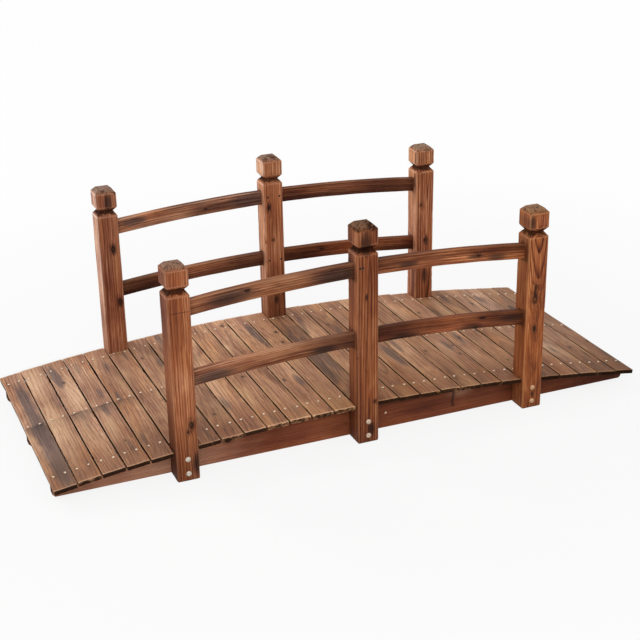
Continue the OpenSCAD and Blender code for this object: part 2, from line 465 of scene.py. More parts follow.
# How far the grain swells round a knot
SWELL = 0.9
COOL_TINT = (214, 204, 222)
WARM_TINT = (255, 234, 206)
BOARD_LOOK = dict(
    knots=3, knot_stretch=0.6, patches=5, waver=0.006, ring=3.1,
    base=0.35, late=0.16, streak=0.78, fibre=0.82, blotch=0.9, burn=0.9,
    streak_scale=400.0, streak_along=2.6, dash=0.22,
    cool=0.5, warm=0.6, deepen=(1.3, 1.75), patch_stretch=0.2,
    palette=[(240, 190, 146), (194, 141, 105), (150, 101, 73), (96, 56, 37), (52, 28, 18)],
    pale=[(246, 204, 162), (214, 164, 122), (160, 108, 76), (90, 54, 36)],
    burnt=[(160, 130, 115), (128, 101, 89), (90, 68, 59), (46, 32, 27)],
    band=(50, 34, 28),
    knot_rim=(104, 66, 48), knot_core=(52, 34, 27), knot_heart=(84, 54, 40),
    rub=0.7, rub_colour=(232, 182, 140), char=0.94, char_colour=(46, 28, 20),
    deep=0.22, deep_colour=(64, 48, 42),
    specular=0.3, bump=0.0008,
)
POST_LOOK = dict(
    knots=3, knot_stretch=0.6, patches=4, waver=0.004, ring=5.8,
    base=0.42, late=0.40, streak=1.3, fibre=0.85, blotch=0.85, burn=0.8,
    streak_scale=300.0, streak_along=2.2, dash=0.12,
    cool=0.7, warm=0.6, deepen=(1.12, 1.2), patch_stretch=0.4,
    palette=[(216, 150, 102), (172, 103, 63), (134, 73, 43), (88, 40, 21), (46, 18, 8)],
    pale=[(232, 170, 122), (190, 122, 80), (140, 80, 50), (72, 34, 20)],
    burnt=[(118, 70, 48), (84, 46, 31), (56, 29, 20), (30, 15, 10)],
    mark=(62, 30, 20), mark_sharp=1200000.0, mark_waver=0.0, crown=(156, 118, 92),
    knot_rim=(84, 41, 25), knot_core=(40, 19, 12), knot_heart=(150, 92, 48),
    rub=0.5, rub_colour=(206, 146, 108), char=0.85, char_colour=(42, 24, 17),
    deep=0.7, deep_colour=(36, 20, 13),
    specular=0.14, bump=0.0009,
)
RAIL_LOOK = dict(
    knots=2, knot_stretch=0.45, patches=3, waver=0.004, ring=4.2,
    base=0.41, late=0.16, streak=1.35, fibre=0.85, blotch=1.2, burn=0.85,
    streak_scale=240.0, streak_along=4.0, dash=0.18,
    cool=0.6, warm=0.6, deepen=(1.12, 1.15), patch_stretch=0.3,
    palette=[(196, 138, 98), (154, 97, 65), (116, 66, 43), (74, 36, 22), (38, 17, 10)],
    pale=[(212, 156, 116), (170, 112, 76), (120, 72, 48), (62, 32, 21)],
    burnt=[(108, 78, 66), (76, 52, 43), (50, 31, 25), (28, 16, 12)],
    knot_rim=(76, 39, 26), knot_core=(36, 19, 13), knot_heart=(80, 46, 30),
    rub=0.6, rub_colour=(190, 138, 104), char=0.9, char_colour=(38, 22, 16),
    deep=0.2, deep_colour=(38, 24, 18),
    specular=0.14, bump=0.0008,
)
STRINGER_LOOK = dict(
    knots=3, knot_stretch=0.6, patches=3, waver=0.006, ring=6.6,
    base=0.42, late=0.10, streak=0.7, fibre=0.45, blotch=0.7, burn=0.6,
    streak_scale=150.0, streak_along=1.7, dash=0.08,
    cool=0.5, warm=0.4, deepen=(1.12, 1.15), patch_stretch=0.4,
    mark=(34, 17, 11), mark_sharp=60000.0, mark_waver=0.012,
    palette=[(176, 109, 72), (146, 82, 52), (116, 59, 37), (82, 38, 22), (44, 19, 11)],
    pale=[(206, 160, 132), (178, 128, 102), (142, 94, 72), (80, 46, 32)],
    burnt=[(100, 56, 40), (76, 40, 28), (54, 27, 19), (30, 15, 10)],
    knot_rim=(70, 33, 21), knot_core=(30, 16, 11), knot_heart=(60, 32, 22),
    rub=0.35, rub_colour=(172, 112, 80), char=0.85, char_colour=(40, 23, 16),
    deep=0.4, deep_colour=(36, 20, 14),
    specular=0.14, bump=0.0007,
)


def steel_material(name, pale, dull, rust, rough, metallic, warm=None):
    """Plated steel with dull patches and a little rust, warmer to the right where a warm colour is given."""
    material, shader = new_material(name)
    x, y, z = object_place()
    patch = noise(x * 260.0, y * 260.0, z * 260.0, 4.0, 0.6)
    spot = noise(x * 700.0, y * 700.0, z * 700.0, 3.0, 0.6)
    colour = mix(patch.step(0.35, 0.7), pale, dull)
    if warm:
        colour = mix(x.step(-0.4, 0.5) * (0.5 + patch * 0.6), colour, warm)
    colour = mix(spot.step(0.62, 0.74) * 0.8, colour, rust)
    feed(shader, {"Base Color": colour, "Roughness": patch * 0.3 + rough, "Metallic": metallic,
                  "Normal": bump(spot * 0.5 + patch * 0.5, 0.0002)})
    return material


BOARD_WOOD = wood_material("deck_wood", BOARD_LOOK)
POST_WOOD = wood_material("post_wood", POST_LOOK)
RAIL_WOOD = wood_material("rail_wood", RAIL_LOOK)
STRINGER_WOOD = wood_material("stringer_wood", STRINGER_LOOK)
BOLT_STEEL = steel_material("bolt_plate", (222, 210, 196), (182, 168, 154), (150, 112, 84), 0.34, 0.35,
                            (190, 138, 84))
NAIL_STEEL = steel_material("nail_plate", (252, 234, 208), (226, 192, 158), (150, 100, 66), 0.32, 0.15)
PIN_STEEL = steel_material("pin_steel", (28, 17, 13), (20, 12, 9), (42, 22, 14), 0.7, 0.0)


# Colour of plain wood
NO_CAST = (1.0, 1.0, 1.0)
# A mark this far off never shows
NO_MARK = -9000.0


def grain_attributes(local, look, seed, tone, scorch, pith, knots, patches, edge, end,
                     figure=None, cast=NO_CAST):
    """Point attributes that the wood reads. Local points are (along, across, up) in millimetres."""
    whole = np.ones((len(local), 1))
    ring, late = figure or (look["ring"], look["late"])
    made = {
        "grain": local * MM,
        "pith": whole * [[pith[0] * MM, pith[1] * MM, pith[2]]],
        "tone": whole * [[tone, scorch, seed]],
        "edge": edge,
        "end": end,
        "figure": whole * [[ring * MM, late, 0]],
        "cast": whole * [list(cast)],
    }
    for key, count, given in (("knot", look["knots"], knots), ("patch", look["patches"], patches)):
        for index in range(count):
            spot = given[index] if index < len(given) else (0, 0, 0)
            made[f"{key}_{index}"] = whole * [[value * MM for value in spot]]
    return made


# Deck boards

# Tone from the left end to the right
BOARD_TONES = (1.03, 0.97, 1.07, 0.97, 0.88, 0.9, 0.93, 0.94, 1.34, 1.2, 1.24, 1.28, 1.15, 0.86,
               1.16, 1.02, 1.09, 1.22, 0.97, 1.08, 1.08, 0.84, 0.76, 1.12, 1.11, 0.82, 0.77)
# Red, green and blue of the boards up to a number, against the plain wood
BOARD_CASTS = ((8, (1.0, 1.03, 1.1)), (18, (1.0, 0.97, 0.9)), (24, (1.0, 1.0, 0.98)), (27, (1.0, 1.07, 1.18)))
# Scorch, strength of the dark band by the middle nails and charring of the near end, by board
BOARD_SCORCH = {1: -0.02, 2: -0.14, 3: -0.12, 4: -0.04, 5: -0.06, 6: -0.1, 13: -0.10, 14: 0.42}
BOARD_BANDS = {1: 0.75, 2: 0.25, 3: 0.8, 4: 0.75, 5: 0.45, 6: 0.2, 7: 0.3}
BOARD_CHAR = {1: 1.1, 2: 0.7, 3: 1.1, 4: 0.8, 5: 0.8, 10: 0.5, 11: 0.55, 13: 0.55}
# Painted shade that darkens the boards towards their near ends, for light that falls off there, with some
# scorch of the ends in it, and how pale the worn near edge is
NEAR_PAINTED_SHADE, RIGHT_PAINTED_SHADE, LAST_PAINTED_SHADE = 0.32, 0.1, 0.11
WORN_END = 0.45
# Rounding of the boards' edges, and how far they widen at the far end
BOARD_ROUND, FAR_FLARE = 1.6, 1.1
# One board's near end stands up
RAISED_BOARD, RAISED_BY = 15, 1.6
# Width of the growth rings and share of late wood in the short boards
SHORT_FIGURE = (2.8, 0.18)
# Knots as (along, across, radius)
BOARD_KNOTS = {
    1: [], 2: [], 3: [(178, 1, 3.6)], 4: [(-196, 2, 2.2)], 5: [], 8: [(-193, -3, 3)],
    11: [(73, -21, 3.5), (276, 11, 4)], 12: [(-109, -17, 3.6)], 13: [(172, 14, 4), (104, 7, 4.8)],
    20: [(-76, 20, 3), (-130, 13, 3.4)], 21: [(162, -16, 3.6), (-30, 7, 3.4)], 24: [(197, 4, 3.6)],
    26: [(-150, -4, 4.2)], 27: [(-257, 16, 4.2), (-115, 19, 3.4)],
}
# Scorched patches as (along, across, size), pale ones with a size below 0
BOARD_PATCHES = {
    1: [(200, 6, 18), (40, 8, 21), (-110, 11, 23), (-250, 9, 25), (-60, -25, -9)],
    2: [(92, 21, 14), (250, -8, -20), (-60, -6, -20), (30, -10, -16), (-255, 14, 13)],
    3: [(262, -14, 17), (105, 4, -22), (-120, -12, -16), (-45, 0, 13), (196, -8, 12)],
    4: [(230, -6, 11), (70, 10, 9), (-30, 0, 10), (-230, 8, 9), (-130, -8, -10)],
    5: [(200, 6, 9), (20, -9, 9), (-215, -16, 11), (90, 14, -10)],
    9: [(-160, -18, 12), (60, 0, -14)], 10: [(-139, -18, -12), (-290, 0, 12)],
    12: [(216, 13, 11), (140, 18, 11), (-126, 16, 8)],
    13: [(-259, -14, -16), (-312, 20, -9)],
    15: [(222, -11, 9), (152, -22, 9)], 16: [(-300, 0, -12), (120, 5, 14)],
    17: [(-48, 8, 12), (-118, 14, 11)], 18: [(-27, -11, 12), (150, 0, -14)],
    19: [(-298, 6, -14), (40, -12, 12)], 20: [(-75, 6, 11)], 21: [(-30, 4, 10)], 24: [(197, 4, 10)],
}


def board_lift(index, along):
    """How far a board stands up along its length."""
    return RAISED_BY * smooth(-along, 180, 317) if index == RAISED_BOARD else 0.0


def lay_on_arch(index, along, across, up):
    """Points along, across and up from the underside of a board, laid tangent to the arch."""
    turn = (index - MIDDLE_BOARD) * BOARD_PITCH / ARCH_R
    reach = ARCH_R + BOARD_SEAT + up
    return np.column_stack([
        reach * math.sin(turn) + across * math.cos(turn),
        along,
        STRINGER_H - ARCH_R + reach * math.cos(turn) - across * math.sin(turn),
    ])


def deck_board(index):
    rng = np.random.default_rng(400 + index)
    short = index in SHORT_BOARDS
    length = SHORT_L if short else DECK_W + rng.uniform(-2.0, 1.5)
    slide = 0.0 if short else rng.uniform(-2.0, 2.0)
    width = BOARD_W - (0.0 if short else rng.uniform(0.0, 0.5))
    outline = rounded_outline(width, BOARD_T, BOARD_ROUND, 5.5)
    local, edge_end, rings = bar_points(length, outline, 1.0, 6.0)
    along, across, up = local.T
    to_end = length / 2 - np.abs(along)
    side, hand = np.abs(across) / (width / 2), np.sign(across)
    top, face = up > 0, up > 3

    # Worn edges, charred ends and dark flanks, the flanks charred and also painted with the shade of the gaps
    # between boards
    edge = np.maximum(edge_end * 1.4, smooth(side, 0.87, 0.98) * face)
    char = np.where(along < 0, BOARD_CHAR.get(index, rng.uniform(0.6, 1.1)), rng.uniform(0.6, 1.1))
    flank = smooth(side, 0.94, 0.965) * smooth(up, BOARD_T / 2 - 0.03, BOARD_T / 2 - 0.4) * 0.64
    end = np.maximum(smooth(to_end, 1.4, 0.2) * char, flank)

    # Slight cupping and bow, planed edges that waver, a few dents
    shaped = local.copy()
    cup = rng.uniform(-0.25, 0.35)
    bow = 0.18 * noise_2d(along, across, 900 + index, 70, 26)
    shaped[:, 2] += np.where(top, cup * (side ** 2 - 0.4) + bow, 0)
    shaped[:, 1] += hand * side * 0.35 * noise_1d(along + 500 * hand, 500 + index, 60)
    shaped[:, 1] += hand * side * FAR_FLARE * smooth(along, 250, 300)
    chip = np.maximum(0, noise_1d(along + 700 * hand, 700 + index, 14) - 0.72) * 4.5
    chip = smooth(side, 0.9, 1.0) * chip * (top & (to_end > 1.5))
    shaped[:, 1] -= hand * chip
    shaped[:, 2] -= chip * 0.8
    shaped[:, 2] += board_lift(index, along)
    ragged = noise_1d(across + up * 3.0 + 400 * np.sign(along), 300 + index, 5.0)
    shaped[:, 0] += slide + np.sign(along) * 0.7 * ragged * smooth(to_end, 3.0, 0.5)
    world = lay_on_arch(index, shaped[:, 0], shaped[:, 1], BOARD_T / 2 + shaped[:, 2])

    knots = BOARD_KNOTS.get(index)
    if knots is None:
        knots = [(rng.uniform(-290, 290), rng.uniform(-20, 20), rng.uniform(2.0, 3.6))
                 for _ in range(rng.integers(0, 2))]
    patches = BOARD_PATCHES.get(index)
    if patches is None:
        patches = [(rng.uniform(-300, 300), rng.uniform(-24, 24), rng.choice((-1, 1)) * rng.uniform(7, 14))
                   for _ in range(4)]
    pith = (rng.uniform(-70, 70), -rng.uniform(60, 160), rng.uniform(-0.03, 0.03))
    tone = BOARD_TONES[index - 1] * rng.uniform(0.97, 1.03)
    scorch = BOARD_SCORCH.get(index, rng.uniform(-0.10, 0.06))
    cast = next(tint for last, tint in BOARD_CASTS if index <= last)
    made = grain_attributes(local, BOARD_LOOK, rng.uniform(0, 40), tone, scorch, pith, knots, patches,
                            edge, end, SHORT_FIGURE if short else None, cast)
    # Painted shade towards the near end, deeper on the right-hand boards, then the worn near edge made paler
    shade = NEAR_PAINTED_SHADE + RIGHT_PAINTED_SHADE * smooth(index, 14, 15) + LAST_PAINTED_SHADE * smooth(index, 23, 26)
    made["tone"][:, 0] *= 1 - shade * smooth(-along, 60, 300)
    made["tone"][:, 0] *= 1 + WORN_END * smooth(length / 2 + along, 6.0, 1.0) * face
    made["band"] = np.full(len(local), BOARD_BANDS.get(index, 0.0))
    obj = make_mesh(f"board_{index:02d}", world, sweep_faces(rings, len(outline)), made, BOARD_WOOD)
    settle(obj, "board_wood", f"deck_board_{index:02d}")


for number in range(1, BOARD_COUNT + 1):
    deck_board(number)


# Stringers

# Rounding of the long edges and of the ends, and the lift of the foot at the very ends
SOLE_ROUND, TOP_ROUND, END_ROUND, TOE_LIFT = 1.8, 1.2, 1.2, 6.0
# Stations near each end, as distances from it
END_STATIONS = np.array([8, 6, 5, 4, 3, 2, 1.2, 0.5, 0.15, 0.0])
# Height of the face's middle, where the grain's pattern is centred
STRINGER_MIDDLE = 40.0


def stringer_ring():
    """Section of a stringer as (across, share of the height, offset up), counter-clockwise."""
    half = STRINGER_T / 2
    flank = np.linspace(0, 1, 9)[1:-1]
    ring = []
    for hand, share, start in ((1, 0.0, -90), (1, 1.0, 0), (-1, 1.0, 90), (-1, 0.0, 180)):
        r = TOP_ROUND if share else SOLE_ROUND
        for a in np.radians(start + np.array([0, 30, 60, 90])):
            inset = -r if share else r
            ring.append((hand * (half - r) + r * math.cos(a), share, inset + r * math.sin(a)))
        if start == -90:
            ring += [(half, s, 0.0) for s in flank]
        if start == 90:
            ring += [(-half, s, 0.0) for s in flank[::-1]]
    return np.array(ring)


def stringer(name, y, seed, knots, patches=(), mark=NO_MARK, tones=(0.85, 0.85)):
    rng = np.random.default_rng(seed)
    half = STRINGER_L / 2
    ring = stringer_ring()
    steps = np.linspace(-half + END_STATIONS[0], half - END_STATIONS[0], 240)
    stations = np.unique(np.round(np.concatenate([END_STATIONS - half, steps, half - END_STATIONS]), 4))
    local, edge, end = [], [], []
    for s in stations:
        to_end = half - abs(s)
        floor = max(0.0, TOE_LIFT - to_end)
        top = STRINGER_H - ARCH_R + math.sqrt(ARCH_R ** 2 - s ** 2)
        turned = 1 - min(to_end, END_ROUND) / END_ROUND
        draw = END_ROUND * (1 - math.sqrt(max(0.0, 1 - turned ** 2)))
        z = floor + ring[:, 1] * (top - floor) + ring[:, 2]
        middle = (floor + top) / 2
        z = middle + (z - middle) * (1 - draw / STRINGER_MIDDLE)
        across = ring[:, 0] * (1 - draw / (STRINGER_T / 2))
        local.append(np.column_stack([np.full(len(ring), s), across, z]))
        edge.append(smooth(np.minimum(top - z, z - floor), 5.0, 0.5) * 0.9)
        end.append(np.full(len(ring), smooth(to_end, 1.5, 0.2)))
    local, edge, end = np.concatenate(local), np.concatenate(edge), np.concatenate(end)
    x, across, z = local.T
    wave = 0.35 * noise_2d(x, z, seed + 5, 120, 40)
    world = np.column_stack([x, across + wave + y, z])

    # Grain runs along the plank, with the plank's face as the wide side of the pattern
    grain = np.column_stack([x, z - STRINGER_MIDDLE, across])
    pith = (rng.uniform(-50, 70), -rng.uniform(18, 60), rng.uniform(-0.03, 0.03))
    made = grain_attributes(grain, STRINGER_LOOK, rng.uniform(0, 40), 1.0, rng.uniform(-0.02, 0.06), pith,
                            knots, patches, edge, end)
    # Tone along the plank; the near stringer's fall in tone towards its right end is painted shade
    made["tone"][:, 0] = np.interp(x, np.linspace(-half, half, len(tones)), tones)
    made["mark"] = np.full(len(local), mark * MM)
    obj = make_mesh(f"{name}_plank", world, sweep_faces(len(stations), len(ring)), made, STRINGER_WOOD)
    settle(obj, "stringer_wood", name)


# The near stringer darkens towards its right end as painted shade
stringer("near_stringer", -STRINGER_Y, 31, [(-330, 10, 4)],
         [(-640, -20, -62), (-420, -30, -40), (274, 12, -10)], 252.0,
         (1.35, 1.35, 1.25, 1.1, 0.95, 0.82, 0.7, 0.46))
stringer("middle_stringer", 0.0, 32, [(-200, 5, 6), (420, -10, 5)])
stringer("far_stringer", STRINGER_Y, 33, [(120, 0, 6), (-480, -8, 5)])


# Rails

RAIL_SEED, RAIL_SEED_STEP = 67, 7
# Where the outer two tones lie, as a share of the length from the middle
TONE_PLACE = 0.29
# Tone of the left, middle and right third, tone of the lower half against the upper one (painted shade on the
# lower half below 1, a lower half painted lighter above 1), colour against the plain wood, added scorch, and
# knots and patches as on the boards
RAILS = {
    "near_left_upper": dict(
        tones=(1.15, 1.04, 0.77), low=0.88, scorch=0.08, knots=[(-60, 6, 3)],
        patches=[(-96, 0, 17), (150, -4, 18), (40, 10, -12)],
    ),
    "near_left_lower": dict(
        tones=(1.65, 1.3, 0.55), low=0.75, scorch=0.1, cast=(1.0, 1.05, 1.12),
        patches=[(-150, -6, 13), (120, -10, 10), (10, 8, -12)],
    ),
    "near_right_upper": dict(
        tones=(0.58, 1.1, 0.66), low=1.75, cast=(1.03, 0.92, 0.78), knots=[(72, -2, 3.5)],
        patches=[(60, -3, 7), (120, -8, 9), (-110, -4, 8)],
    ),
    "near_right_lower": dict(
        tones=(0.25, 0.88, 0.38), low=1.55, cast=(1.0, 0.8, 0.66),
        knots=[(86, 8, 3), (70, -14, 3.5)], patches=[(-120, -14, 14), (60, -14, 12), (165, 0, 12)],
    ),
    "far_left_upper": dict(
        tones=(1.5, 1.2, 1.5), low=0.82, scorch=0.28, cast=(1.1, 1.22, 1.42),
        knots=[(40, -4, 3.5)], patches=[(-150, 4, 7), (178, 0, 17), (-20, -8, -13)],
    ),
    "far_left_lower": dict(tones=(0.42, 1.75, 0.48), low=0.52, cast=(1.0, 1.05, 1.1)),
    "far_right_upper": dict(tones=(0.84, 0.88, 0.5), low=0.5, cast=(1.0, 0.95, 0.92)),
    "far_right_lower": dict(
        tones=(0.46, 1.15, 0.62), low=0.5, cast=(1.0, 0.84, 0.7), knots=[(-80, 5, 3.5)],
    ),
}


def rail(name, seed, look):
    side, bay, level = name.split("_")
    rng = np.random.default_rng(seed)
    middle_r = RAIL_R - RAIL_H / 2
    start, stop = math.asin(RAIL_START / RAIL_R), math.asin((POST_SPACING - RAIL_START) / RAIL_R)
    length = (stop - start) * middle_r
    outline = rounded_outline(RAIL_T, RAIL_H, 3.0, 4.6, 5)
    local, _, rings = bar_points(length, outline, 0.8, 5.0)
    along, across, up = local.T
    corner = np.minimum(RAIL_T / 2 - np.abs(across), 8) + np.minimum(RAIL_H / 2 - np.abs(up), 8)
    # Pale worn edges, the upper ones paler than the lower ones as a painted highlight
    edge = smooth(corner, 4.5, 1.2) * np.where(up > 0, 1.0, 0.6)
    end = smooth(length / 2 - np.abs(along), 20.0, 16.0) * 0.45

    # Slightly uneven faces, bent to the bow
    rise = up + np.sign(up) * 0.4 * noise_1d(along + 300 * np.sign(up), seed + 1, 55) * (np.abs(up) > 12)
    swell = np.sign(across) * 0.3 * noise_2d(along, up, seed + 2, 60, 18) * (np.abs(across) > 5)
    bay_middle = (start + stop) / 2 * (-1 if bay == "left" else 1)
    angle = bay_middle + along / middle_r
    reach = middle_r + rise
    world = np.column_stack([
        reach * np.sin(angle),
        SIDES[side] * POST_Y - (across + swell),
        RAIL_TOPS[level] - RAIL_R + reach * np.cos(angle),
    ])
    grain = np.column_stack([along, up, across])
    pith = (rng.choice((-1, 1)) * rng.uniform(40, 90), -rng.uniform(15, 50), rng.uniform(-0.012, 0.012))
    scorch = rng.uniform(-0.02, 0.1) + look.get("scorch", 0.0)
    made = grain_attributes(grain, RAIL_LOOK, rng.uniform(0, 40), 1.0, scorch, pith, look.get("knots", []),
                            look.get("patches", []), edge, end, None, look.get("cast", NO_CAST))
    outer = length * TONE_PLACE
    made["tone"][:, 0] = np.interp(along, (-outer, 0, outer), look["tones"])
    # Painted shade on the lower half, or a lower half painted lighter where the factor is above 1
    made["tone"][:, 0] *= 1 + (look["low"] - 1) * smooth(up, 8, -12)
    obj = make_mesh(f"{name}_rail_bar", world, sweep_faces(rings, len(outline)), made, RAIL_WOOD)
    settle(obj, "rail_wood", f"{name}_rail")


for order, (name, look) in enumerate(RAILS.items()):
    rail(name, RAIL_SEED + RAIL_SEED_STEP * order, look)


# Posts

# Height at which the grain's pattern is centred
POST_MIDDLE = 270.0
# Softening of the chamfers in plan and of the corners in profile
PLAN_SOFT, PROFILE_SOFT = 0.9, 1.6
# Heights between which the painted light on a post's left face changes (painted shade where it is below 0),
# and what a face with painted light gains in red, green and blue
PAINTED_LIGHT_HEIGHTS, PAINTED_LIGHT_CAST = (110, 300), (0.0, 0.27, 0.56)
# Seed, tone, scorch, pith, growth rings, knots and patches of each post, a mark across it, the painted light
# added to the tone of its left face at the foot and higher up (painted shade where below 0), shading of the
# foot as (share, top, bottom), colour, scorch of the cap's rim, heights between which the late wood sets in,
# and tone, green and blue of the cap
PLAIN_POST = dict(scorch=0.0, mark=NO_MARK, foot=(0.16, 150, 20), rim=0.3, figure_top=None)
POSTS = {
    "near_left": dict(
        seed=81, tone=1.0, pith=(-60, -70, 0.0), figure=(3.1, 0.20),
        knots=[(-131, 12, 6.0), (-148, 4, 3.2)], patches=[(-133, 14, 6), (-229, 21, 12), (-30, 0, -16)],
        mark=139.3, left_painted_light=(-0.5, 0.05), foot=(0.4, 200, 20), cast=(0.98, 0.98, 1.05),
        cap=(1.08, 1.03, 1.1),
    ),
    "near_middle": dict(
        seed=82, tone=0.72, pith=(2, 20, 0.02), figure=(6.4, 0.32),
        knots=[(-165, 16, 3)], patches=[(100, -4, 5), (226, -4, 14), (20, 16, -9), (-234, 8, 8)],
        left_painted_light=(-0.3, 0.12), cast=(1.0, 0.94, 0.92), rim=0.75, cap=(1.0, 1.05, 1.1),
    ),
    "near_right": dict(
        seed=83, tone=1.12, scorch=-0.06, pith=(3, 67, 0.085), figure=(5.2, 0.5),
        knots=[(20, -5, 8.0), (52, -3, 4.4), (-57, -3, 4.5)],
        patches=[(36, -4, 7.5), (-58, -2, 7), (214, -20, 9), (-233, 0, 4)],
        left_painted_light=(-0.2, -0.22), cast=(1.0, 0.94, 0.78), figure_top=(270, 400),
        cap=(1.32, 1.08, 1.25),
    ),
    "far_left": dict(
        seed=84, tone=0.96, pith=(-60, -50, 0.0), figure=(3.6, 0.24),
        knots=[(88, 8, 5), (-56, 15, 5.5)], patches=[(88, 9, 8), (-56, 16, 7), (212, 4, 10)],
        left_painted_light=(1.0, 1.75), cast=(1.0, 1.08, 1.3), cap=(1.0, 1.05, 1.15),
    ),
    "far_middle": dict(
        seed=85, tone=1.0, scorch=-0.02, pith=(40, -60, 0.0), figure=(4.0, 0.26),
        knots=[(138, -14, 4), (48, -5, 3)], patches=[(140, -13, 7), (-122, 0, 8), (40, 8, -14)],
        left_painted_light=(0.12, 1.22), foot=(0.5, 330, 120), cast=(1.0, 1.04, 1.18),
        cap=(1.2, 1.15, 1.3),
    ),
    "far_right": dict(
        seed=86, tone=1.14, scorch=0.03, pith=(10, 16, -0.03), figure=(5.4, 0.34),
        knots=[(83, -12, 4), (-20, 2, 4)], patches=[(-125, 2, 11), (-22, 4, 7)],
        left_painted_light=(0.4, 0.6), cast=(1.03, 1.1, 1.2), cap=(1.22, 1.14, 1.25),
    ),
}


def post_plan(half, chamfer):
    """Closed plan of a post of that half width: four flats with softened chamfers, counter-clockwise."""
    flat = half - chamfer - PLAN_SOFT * 0.2
    near, far, middle = half - chamfer * 0.14, half - chamfer * 0.82, half - chamfer / 2
    shares = (-0.93, -0.8, -0.55, -0.28, 0.0, 0.28, 0.55, 0.8, 0.93)
    run = [(half, share * flat) for share in shares]
    drawn = half - PLAN_SOFT * 0.35
    run = [(drawn, -flat)] + run + [(drawn, flat), (near, far), (middle, middle), (far, near)]
    points = []
    for turn in range(4):
        c, s = math.cos(math.pi / 2 * turn), math.sin(math.pi / 2 * turn)
        points += [(px * c - py * s, px * s + py * c) for px, py in run]
    return np.array(points)


def soften(path, r, count=3):
    """Polyline with its inner corners rounded off."""
    path = [np.array(p, float) for p in path]
    out = [path[0]]
    for before, corner, after in zip(path, path[1:], path[2:]):
        d0, d1 = before - corner, after - corner
        reach = min(r, np.linalg.norm(d0) * 0.45, np.linalg.norm(d1) * 0.45)
        a = corner + d0 / np.linalg.norm(d0) * reach
        b = corner + d1 / np.linalg.norm(d1) * reach
        for t in np.arange(count + 1) / count:
            out.append((1 - t) ** 2 * a + 2 * t * (1 - t) * corner + t * t * b)
    out.append(path[-1])
    return np.array(out)


def cap_levels(height):
    """Heights of the cap's bevel, of the cap's foot and of the neck's foot."""
    cap_top = height - CAP_BEVEL
    neck_top = cap_top - CAP_H
    return cap_top, neck_top, neck_top - NECK_H


def post_profile(height):
    """Half width and height up the side of a post, from the foot to the flat top."""
    half = POST_W / 2
    cap_top, neck_top, neck_low = cap_levels(height)
    path = soften([(half - POST_FOOT, 0.0), (half, POST_FOOT), (half, neck_low),
                   (half - NECK_DEPTH, neck_low + NECK_H / 2), (half, neck_top), (half, cap_top),
                   (half - CAP_BEVEL, height)], PROFILE_SOFT)
    dense = []
    for a, b in zip(path, path[1:]):
        count = max(1, int(np.linalg.norm(b - a) / 6.0))
        dense += [a + (b - a) * k / count for k in range(count)]
    dense.append(path[-1])
    return np.array(dense)


def post_rings(height):
    """Rings of points up a post and in over its top."""
    profile = post_profile(height)
    plans = [(post_plan(half, min(POST_EDGE, max(1.0, 2 * half - 50.0))), z) for half, z in profile]
    top = post_plan(profile[-1][0], 1.0)
    plans += [(top * shrink, height + 0.25 * (1 - shrink)) for shrink in (0.72, 0.4, 0.12)]
    return [np.column_stack([plan, np.full(len(plan), z)]) for plan, z in plans]


def post(name, look):
    side, place = name.split("_")
    look = {**PLAIN_POST, **look}
    seed = look["seed"]
    height = MIDDLE_H if place == "middle" else END_H
    rings = post_rings(height)
    local = np.concatenate(rings)
    x, y, z = local.T

    # Slightly uneven faces and chipped edges
    shaped = local.copy()
    for axis in (0, 1):
        hand = np.sign(local[:, axis])
        push = 0.3 * noise_2d(z, local[:, 1 - axis] + 200 * hand, seed + axis, 60, 22)
        shaped[:, axis] += hand * push * (np.abs(local[:, axis]) > 20)
    chip = np.maximum(0, noise_2d(z, np.arctan2(y, x) * 50, seed + 7, 13, 40) - 0.66) * 5.0
    on_edge = (np.minimum(np.abs(x), np.abs(y)) > 21.5) & (z > 6) & (z < height - 10)
    shaped[:, :2] *= (1 - np.where(on_edge, chip * 0.02, 0))[:, None]

    centre = [POST_X[place], SIDES[side] * POST_Y, 0]
    faces = sweep_faces(len(rings), len(rings[0]))
    obj = make_mesh(f"{name}_upright", shaped + centre, faces, {}, POST_WOOD)
    cut_mortises(obj, side, place)
    places = np.zeros(len(obj.data.vertices) * 3, np.float32)
    obj.data.vertices.foreach_get("co", places)
    here = places.reshape(-1, 3).astype(float) / MM - centre
    write_attributes(obj.data, post_attributes(here, height, place, look))
    settle(obj, "post_wood", f"{name}_post")


def mortise_box(side, place, direction, level):
    """Corners and faces of the pocket that one rail's end sits in, with a narrow gap round it."""
    face_x = POST_X[place] + direction * POST_W / 2
    points = []
    for x in (face_x - direction * MORTISE_DEPTH, face_x + direction * 4.0):
        top = RAIL_TOPS[level] - RAIL_R + math.sqrt(RAIL_R ** 2 - x ** 2) + MORTISE_GAP
        low = RAIL_TOPS[level] - RAIL_R + math.sqrt((RAIL_R - RAIL_H) ** 2 - x ** 2) - MORTISE_GAP
        for hand, z in ((-1, low), (1, low), (1, top), (-1, top)):
            points.append((x, SIDES[side] * POST_Y + hand * (RAIL_T / 2 + MORTISE_GAP), z))
    quads = [(0, 3, 2, 1), (4, 5, 6, 7), (0, 1, 5, 4), (1, 2, 6, 5), (2, 3, 7, 6), (3, 0, 4, 7)]
    return np.array(points), quads if direction > 0 else [quad[::-1] for quad in quads]


def cut_mortises(obj, side, place):
    points, faces = joined([mortise_box(side, place, direction, level)
                            for direction in INNER_SIDES[place] for level in RAIL_TOPS])
    cutter_mesh = bpy.data.meshes.new("mortise_cutter")
    cutter_mesh.from_pydata((points * MM).tolist(), [], faces)
    cutter = add_object("mortise_cutter", cutter_mesh)
    modifier = obj.modifiers.new("mortises", "BOOLEAN")
    modifier.operation = "DIFFERENCE"
    modifier.object = cutter
    modifier.solver = "EXACT"
    made = bpy.data.meshes.new_from_object(obj.evaluated_get(bpy.context.evaluated_depsgraph_get()))
    obj.modifiers.clear()
    old = obj.data
    made.name = old.name + "_cut"
    obj.data = made
    bpy.data.meshes.remove(old)
    bpy.data.objects.remove(cutter)
    bpy.data.meshes.remove(cutter_mesh)


